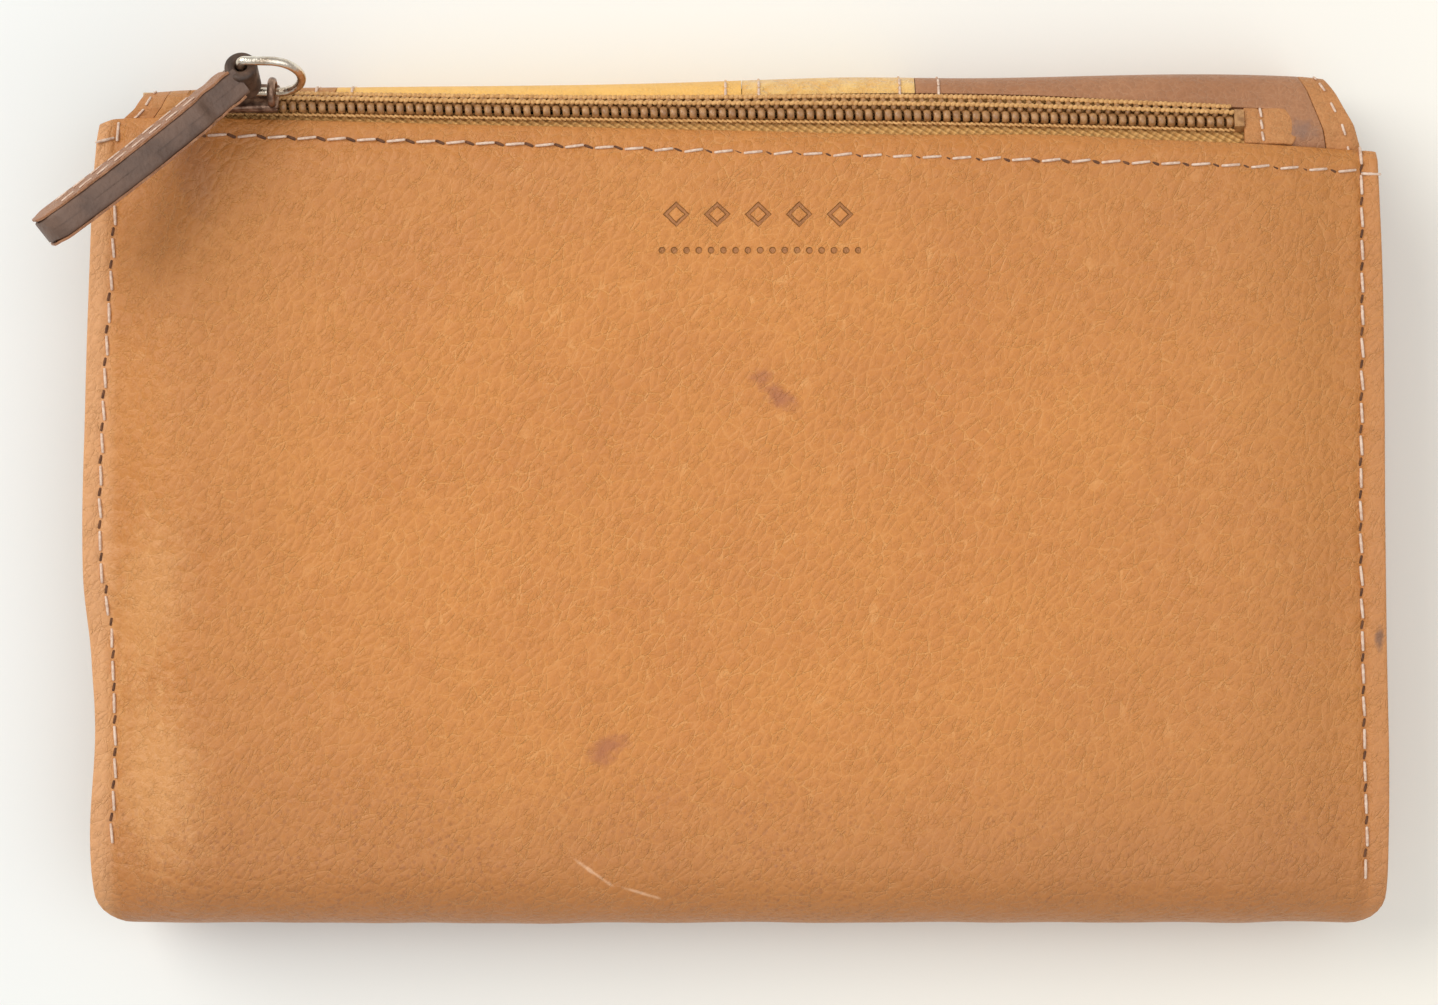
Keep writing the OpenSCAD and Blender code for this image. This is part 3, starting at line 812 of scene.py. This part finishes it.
coilRow("lowerCoil", "lower_coil", -0.36, 0, 1.0, 1.75)
coilRow("upperCoil", "upper_coil", 0.75, chain["pitch"] / 2, 0.85, 1.35, 1.0)


def ropeRow(name, across, up, lean, size, widen, shift=0):
    places = []
    spot = zipFrom + 0.5 + shift
    while spot < zipTo:
        at = onZip(spot, across + widen * bowed(spot) + dice.uniform(-0.03, 0.03), up)
        places.append(frameAt(at, zipAlong + zipAcross * lean, zipUp))
        spot += chain["pitch"] / 2
    row = copiesOf(bead(0.82, size, size * 0.8, 8, 5), name, places)
    return dress(row, "rope")


ropeRow("coilThreadInner", 0.5, 1.48, 0.6, 0.62, 0.75)
ropeRow("coilThreadOuter", 1.3, 1.2, 0.5, 0.64, 1.2, 0.3)
ropeRow("coilThreadLower", -1.3, 0.5, -0.4, 0.36, 0.35, 0.1)


def dressNodes(finish, *nodes):
    for node in nodes:
        kept = frame["nodes"][node]
        kept.data.materials.clear()
        kept.data.materials.append(finishes[finish])


dressNodes("coil", "top_stops", "bottom_stop")

endTabCut = {"low": -3.3, "high": 1.75, "ahead": 1.3, "long": 5.8, "rounded": 0.9,
             "thick": 0.8, "round": 0.25}


def tabPlace(u, v):
    across = lerp(endTabCut["low"], endTabCut["high"], v)
    reach = endTabCut["long"] + endTabCut["rounded"] * (1 - (2 * v - 1) ** 2)
    a = zipTo + endTabCut["ahead"] + reach * u
    rise = 1.15 - 0.25 * smooth(0.75, 1, u) - 0.2 * math.exp(-((u - 0.36) / 0.06) ** 2)
    return onZip(a, across, rise + relief(a, across, 3, 0.12, 50))


endTab = sheetPiece("endTab", 24, 20, tabPlace)
thicken(endTab, endTabCut["thick"], endTabCut["round"])
dress(endTab, "edging", ["zip_end_tab"])
tabThreads = []
for k in range(3):
    at = onZip(zipTo + 3.4 + 0.06 * k, 1.05 - 1.7 * k, 1.1)
    tabThreads.append(frameAt(at, zipAcross - zipAlong * 0.12, zipUp))
tabStitches = copiesOf(bead(1.35, 0.36, 0.34), "tabStitches", tabThreads)
dress(tabStitches, "thread", ["end_tab_stitching"])

print("stage: flap leather")
spineLine = [(-76, 50.4), (-66, 50.9), (-45, 51.2), (-15, 51.6), (4, 52.2), (14, 52.5), (30, 52.4),
             (56, 52.9), (70, 52.6), (76, 51.9)]
rootLine = [(-68, 1.4), (-50, 1.4), (-15, 1.65), (4, 2.4), (20, 3.0), (37, 3.0), (52, 2.3),
            (62, 1.8), (70, 1.6)]
flare = {"left": 3.7, "right": 4.1}
hem = 3.4
flapCut = {"thick": 1.0, "round": 0.22, "corner": 8, "patchCorner": 4.6, "liningCorner": 7}
spine = {"crease": 2.3, "top": 12.6, "join": 8.0, "low": 2.5, "slope": 0.466}


def rootY(x):
    over = smooth(-67.4, -66.4, x) * (1 - smooth(66.4, 67.4, x))
    onTape = onZip(0, along(rootLine, x), 1.05).y - zipAlong.y / zipAlong.x * (sliderMid.x - x)
    return lerp(along(lipLine, x) - 1.6, onTape, over)


def crown(x, t):
    # from the edge beside the zip over the top crease to halfway down the spine
    flat = onZip(0, 0, 1.05)
    lip = along(lipLine, x)

    def lying(y):
        plane = flat.z - (y - flat.y - zipAlong.y / zipAlong.x * (x - flat.x)) * spine["slope"]
        return min(plane, backZ(x, lip - 1.5) - 1.55 + 0.22 * max(0, y - lip))
    start, end = rootY(x), along(spineLine, x)
    bend = max(start + 0.25, end - spine["crease"])
    if t < 0.4:
        y = lerp(start, bend, t / 0.4)
        return y, lying(y) + relief(x, y, 5, 0.16, 60)
    if t > 0.7:
        return end, lerp(spine["top"], spine["join"], (t - 0.7) / 0.3)
    s = (t - 0.4) / 0.3
    y = curve(bend, end, end, s)
    z = curve(lying(bend), lying(bend) - 1.0, spine["top"], s)
    return y, z + relief(x, y, 5, 0.16, 60) * (1 - s)


def below(x, t, end, inset=0.0, top=spine["join"]):
    # from halfway down the spine over the lower crease to the flap's free edge
    back = along(spineLine, x) - inset
    low = spine["low"]
    if t < 0.1:
        return back, lerp(top, low, t / 0.1)
    if t < 0.22:
        s = (t - 0.1) / 0.12
        return curve(back, back, back - low, s), curve(low, inset, inset, s)
    y = lerp(back - low, end, (t - 0.22) / 0.78)
    return y, inset + abs(relief(x, y, 12, 0.12, 70))


def spread(x, t):
    # the flap's sides flare out towards the lip
    side = "right" if x > 0 else "left"
    grow = max(0, abs(x) - (flapHalf - 12)) / 12
    return x + math.copysign(grow * flare[side] * (1 - smooth(0, 0.62, t)), x)


def topStrip(name, x0, x1, finish, nodes):
    def place(u, v):
        x = spread(lerp(x0 + 0.05, x1 - 0.05, u), v)
        return (x, *crown(x, v))
    strip = sheetPiece(name, max(8, int(x1 - x0)), 44, place)
    thicken(strip, flapCut["thick"], flapCut["round"])
    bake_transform(strip)
    return dress(strip, finish, nodes, body=None)


def cornerInset(y, radius):
    # how far a side steps in at y, where the flap's corner is rounded
    down = min(radius, max(0, flapEnd + flapCut["corner"] - y))
    return radius - math.sqrt(max(0, radius * radius - down * down))


def flapStrip(name, x0, x1, finish, nodes):
    def place(u, v):
        y, z = below(lerp(x0, x1, u), v, end=flapEnd + hem)
        inset = cornerInset(y, flapCut["patchCorner"])
        left = x0 + (inset if x0 < -60 else 0)
        right = x1 - (inset if x1 > 60 else 0)
        return lerp(left + 0.05, right - 0.05, u), y, z
    strip = sheetPiece(name, max(8, int((x1 - x0) / 2)), 90, place)
    thicken(strip, flapCut["thick"], flapCut["round"])
    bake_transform(strip)
    return dress(strip, finish, nodes, body=None)


def sideEdging(name, side, nodes):
    middleX, middleY = flapHalf - flapCut["corner"], flapEnd + flapCut["corner"]

    def place(u, v):
        outer = lerp(flapHalf - hem, flapHalf, u)
        if v < 0.8:
            y, z = below(side * outer, v / 0.8, end=middleY)
            return side * outer, y, z
        turn = (v - 0.8) / 0.2 * math.pi / 2
        radius = outer - middleX
        return side * (middleX + radius * math.cos(turn)), middleY - radius * math.sin(turn), 0.05
    strip = sheetPiece(name, 5, 100, place, flip=side < 0)
    thicken(strip, flapCut["thick"], flapCut["round"])
    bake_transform(strip)
    return dress(strip, "edging", nodes, body=None)


inner = flapHalf - hem
patches = [
    ("tan", -inner, seamTan, "tan", "tan_patch_leather"),
    ("light", seamTan, seamLight, "light", "light_leather"),
    ("suede", seamLight, seamSuede, "suede", "suede"),
    ("brown", seamSuede, inner, "brown", "brown_leather"),
]
for word, x0, x1, finish, slot in patches:
    topStrip(word + "TopPatch", x0, x1, finish, ["root_patch_" + word])
    flapStrip(word + "FlapPatch", x0, x1, finish, ["spine_patch_" + word, "flap_patch_" + word])
topStrip("rightTopEdging", inner, flapHalf, "edging", ["root_edging_right"])
topStrip("leftTopEdging", -flapHalf, -inner, "edging", ["root_patch_tan"])
sideEdging("leftFlapEdging", -1, ["spine_edging_left", "flap_edging_left"])
sideEdging("rightFlapEdging", 1, ["spine_edging_right", "flap_edging_right"])


def bottomEdging(u, v):
    reach = flapHalf - flapCut["corner"]
    return lerp(-reach, reach, u), lerp(flapEnd + hem - 0.03, flapEnd, v), 0.05


edging = sheetPiece("bottomFlapEdging", 60, 5, bottomEdging)
thicken(edging, flapCut["thick"], flapCut["round"])
dress(edging, "edging", ["flap_edging_bottom"], "flap")


def flapLining(u, v):
    y, z = below(lerp(-72, 72, u), v, inset=1.03, top=13, end=flapEnd + 1)
    reach = flapHalf - 1 - cornerInset(y, flapCut["liningCorner"])
    return lerp(-reach, reach, u), y, z


lining = sheetPiece("flapLining", 70, 90, flapLining)
thicken(lining, 0.42)
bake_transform(lining)
dress(lining, "lining", ["spine_lining", "flap_lining"], body=None)

threadLines = [-51.6, -47.2, -1.2, 2.9, 20.3, 25.1, 71.9, -71.9]
onPatch = (0.1, 0.34, 0.5, 0.72, 0.92)
onEdging = (0.06, 0.19, 0.32, 0.46, 0.6, 0.8)
outward = Vector((1, 0, 0))
topThreads, flapThreads = [], []


def onTop(x, t):
    x = spread(x, t)
    return Vector((x, *crown(x, t)))


def onFlap(x, t):
    return Vector((x, *below(x, t, end=flapEnd + hem)))


for x in threadLines:
    patchSeam = abs(x) < 60
    for t in onPatch if patchSeam else onEdging:
        here = onTop(x, t)
        way = onTop(x, t + 0.03) - here
        sunk = here + way.cross(outward).normalized() * -0.08
        topThreads.append(frameAt(sunk, way, outward.cross(way)))
    for k in range(26 if patchSeam else 0):
        t = 0.03 + k * 0.0375
        here = onFlap(x, t)
        flapThreads.append(frameAt(here + Vector((0, 0, 0.1)), onFlap(x, t + 0.01) - here, (0, 0, 1)))
topStitches = copiesOf(bead(1.5, 0.34, 0.3), "topStitches", topThreads)
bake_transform(topStitches)
dress(topStitches, "thread", body=None)
flapStitches = copiesOf(bead(1.9, 0.4, 0.3), "flapSeamStitches", flapThreads)
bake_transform(flapStitches)
dress(flapStitches, "thread", body=None)

rimSewing = {"in": 2.4, "height": 1.55, "sideCount": 21, "sidePitch": 3.9, "lowCount": 35, "lowPitch": 3.7}
rimThreads = []
rimLow = flapEnd + rimSewing["in"]
for side in (-1, 1):
    for k in range(rimSewing["sideCount"]):
        y = rimLow + 6 + rimSewing["sidePitch"] * (k + 0.5)
        at = (side * (flapHalf - rimSewing["in"]), y, rimSewing["height"])
        rimThreads.append(frameAt(at, (0, 1, 0), (0, 0, 1)))
for k in range(rimSewing["lowCount"]):
    x = rimSewing["lowPitch"] * (k - (rimSewing["lowCount"] - 1) / 2)
    rimThreads.append(frameAt((x, rimLow, rimSewing["height"]), (1, 0, 0), (0, 0, 1)))
rimStitches = copiesOf(bead(2.3, 0.46, 0.36), "flapRimStitches", rimThreads)
dress(rimStitches, "thread", ["flap_edge_stitching"], "flap")

dressNodes("snap", "snap_stud", "snap_socket")

print("stage: slider, ring and pull")


def block(low, high, round, taper=1.0):
    deselect()
    bpy.ops.mesh.primitive_cube_add(size=1)
    made = bpy.context.object
    for c in made.data.vertices:
        x, y, z = [lerp(low[k], high[k], c.co[k] + 0.5) * mm for k in range(3)]
        c.co = (x, y * (taper if c.co.x > 0 else 1), z)
    if round:
        useModifier(made, "BEVEL", width=round * mm, segments=4)
    pick(made)
    bpy.ops.object.shade_smooth_by_angle(angle=0.9)
    return made


def joined(name, parts, place):
    deselect()
    for part in parts:
        part.select_set(True)
    bpy.context.view_layer.objects.active = parts[0]
    if len(parts) > 1:
        bpy.ops.object.join()
    whole = setName(name)
    whole.data.transform(place)
    return whole


deselect()
bpy.ops.mesh.primitive_torus_add(major_segments=28, minor_segments=12,
                                 major_radius=1.5 * mm, minor_radius=0.4 * mm)
bail = bpy.context.object
for c in bail.data.vertices:
    x, y, z = c.co
    c.co = (z * 1.2 + zipPlate["bailAhead"] * mm, y, x + 3.4 * mm)
bpy.ops.object.shade_smooth()
sliderBlocks = {
    "topPlate": ((-4.1, -2, 1.9), (4.1, 2, 2.75), 0.38, 0.86),
    "lowerPlate": ((-4.1, -2, -1.7), (4.1, 2, -0.9), 0.3, 0.86),
    "post": ((-4.1, -0.25, -1.2), (-2.8, 0.25, 2.2), 0.1),
    "upperLip": ((-4.0, 1.5, 1.55), (4.0, 1.98, 2.3), 0.14, 0.9),
    "lowerLip": ((-4.0, -1.98, 1.55), (4.0, -1.5, 2.3), 0.14, 0.9),
}
slider = joined("slider", [block(*sizes) for sizes in sliderBlocks.values()] + [bail], zipFrame)
dress(slider, "bronze", ["slider"], "slider")


def tube(name, path, radius, around=14):
    # a closed round wire along a loop of points
    count = len(path)

    def place(u, v):
        k = int(round(u * count)) % count
        here, ahead, behind = path[k], path[(k + 1) % count], path[k - 1]
        way = (ahead - behind).normalized()
        side = way.cross(zipAcross).normalized()
        turn = v * 2 * math.pi
        return here + (side * math.cos(turn) + zipAcross * math.sin(turn)) * radius
    piece = sheetPiece(name, count, around, place, merge=1e-6, outward=True)
    bpy.ops.object.shade_smooth()
    return piece


ringBend = {"wire": 0.55, "corner": 0.7, "straight": 3.6}


def ringOutline():
    # a D: the bar, two bent corners, two straight legs and a half circle, as (along, up) pairs
    r, far = ringBend["corner"], ringBend["straight"]
    outline = [(0, lerp(r - ringHalf, ringHalf - r, k / 15)) for k in range(16)]
    for k in range(1, 6):
        a = k / 6 * math.pi / 2
        outline.append((r - r * math.cos(a), ringHalf - r + r * math.sin(a)))
    outline += [(lerp(r, far, k / 8), ringHalf) for k in range(9)]
    for k in range(1, 32):
        a = math.pi / 2 - k / 32 * math.pi
        outline.append((far + ringHalf * math.cos(a), ringHalf * math.sin(a)))
    outline += [(lerp(far, r, k / 8), -ringHalf) for k in range(9)]
    for k in range(1, 6):
        a = k / 6 * math.pi / 2
        outline.append((r - r * math.sin(a), r - ringHalf - r * math.cos(a)))
    return outline


ringPath = [barMid + zipAlong * x + zipUp * z for x, z in ringOutline()]
ring = tube("pullRing", ringPath, ringBend["wire"])
dress(ring, "ring", ["pull_ring"], "ring")

pullShape = {"way": Vector((-0.75, -0.648, 0.24)).normalized(), "lean": Vector((0.22, -0.25, 1)),
             "length": 31, "half": 3.5, "thick": 1.8, "neck": 6}
pullSide = (pullShape["lean"] - pullShape["way"] * pullShape["lean"].dot(pullShape["way"])).normalized()
pullOut = pullSide.cross(pullShape["way"])


def pullHalf(s):
    wide = lerp(2.4, pullShape["half"], smooth(pullShape["neck"], pullShape["neck"] + 1.6, s))
    past = max(0, s - (pullShape["length"] - 3.6)) / 3.6
    return wide * math.sqrt(max(0, 1 - min(1, past) ** 2.2))


def pullAt(s, across, out):
    bow = 0.5 * math.sin(math.pi * s / pullShape["length"])
    return barMid + pullShape["way"] * s + pullSide * across + pullOut * (out + bow * 0.5)


def squared(share):
    # pushes a circle's sine or cosine out towards a square
    return math.copysign(abs(share) ** 0.28, share)


def corePlace(u, v):
    s = lerp(0.9, pullShape["length"], 1 - (1 - u) ** 1.25)
    turn = v * 2 * math.pi
    swell = 1 + relief(s, v * 3, 4, 0.05, 80)
    thick = pullShape["thick"] * (1 - 0.25 * smooth(pullShape["length"] - 2, pullShape["length"], s))
    return pullAt(s, pullHalf(s) * squared(math.cos(turn)) * swell, thick * squared(math.sin(turn)))


core = sheetPiece("pullCore", 90, 40, corePlace, merge=1e-5, outward=True)
pick(core)
bpy.ops.object.shade_smooth_by_angle(angle=0.9)
dress(core, "edge", ["pull_tab"], "pull")


def facePlace(side):
    def place(u, v):
        s = lerp(1.6, pullShape["length"] - 0.15, 1 - (1 - u) ** 1.25)
        across = pullHalf(s) * (2 * v - 1) * 0.97
        pucker = 0.12 * math.cos(6.2832 * (s - 7) / 2.9) * math.exp(-((abs(across) - 2.2) / 0.8) ** 2)
        return pullAt(s, across, side * (pullShape["thick"] + 0.14 - pucker * 0.5))
    return place


faces = []
for side in (-1, 1):
    face = sheetPiece("pullFace", 90, 20, facePlace(side), flip=side > 0)
    thicken(face, 0.3, 0.06)
    faces.append(face)
pullFaces = joined("pullFaces", faces, Matrix())
dress(pullFaces, "pull", ["pull_tab"], "pull")


pullLoopShape = {"radius": 2.0, "half": 2.45, "thick": 1.28, "round": 0.42}


def loopPlace(u, v):
    turn = u * 2 * math.pi
    out = (zipAlong * math.cos(turn) + zipAcross * math.sin(turn)) * pullLoopShape["radius"]
    return barMid + out + zipUp * lerp(-pullLoopShape["half"], pullLoopShape["half"], v)


pullLoop = sheetPiece("pullLoop", 36, 8, loopPlace, merge=1e-6, outward=True)
thicken(pullLoop, pullLoopShape["thick"], pullLoopShape["round"])
dress(pullLoop, "loop", ["pull_tab"], "pull")

pullThreads = []
for side in (-1, 1):
    for across in (-1.9, 1.9):
        for k in range(8):
            at = pullAt(7.6 + 2.65 * k, across, side * (pullShape["thick"] + 0.2))
            pullThreads.append(frameAt(at, pullShape["way"] + pullSide * 0.08, pullOut * side))
pullStitches = copiesOf(bead(1.9, 0.36, 0.26), "pullStitches", pullThreads)
dress(pullStitches, "thread", ["pull_stitching"], "pull")

print("stage: table")
# near and far: the table's colours at the two ends of a painted light fade
table = {"near": (0.83, 0.87, 0.88), "far": (1.0, 0.97, 0.88), "size": 6}
deselect()
bpy.ops.mesh.primitive_plane_add(size=table["size"])
floor = setName("table")
tableTop = Finish("tableTop", Specular_IOR_Level=0.2)
tableSpot = tableTop.place()
tableX, tableY = tableTop.axes(tableSpot)[:2]
tableCloud = tableTop.cloudy(tableSpot, 0.006, 3)
# painted light: the table turns warmer and brighter towards the right and the bottom, standing in for the
# light's yellow fade and lifting the pouch's shadow
paintedLightFade = (tableX * 0.9 - tableY * 0.35).ramp(-110, 130) * 0.75 + tableCloud * 0.25
tableTop.wear(tableTop.mix(paintedLightFade, table["near"], table["far"]), 0.6 + tableCloud * 0.1)
floor.data.materials.append(tableTop.material)
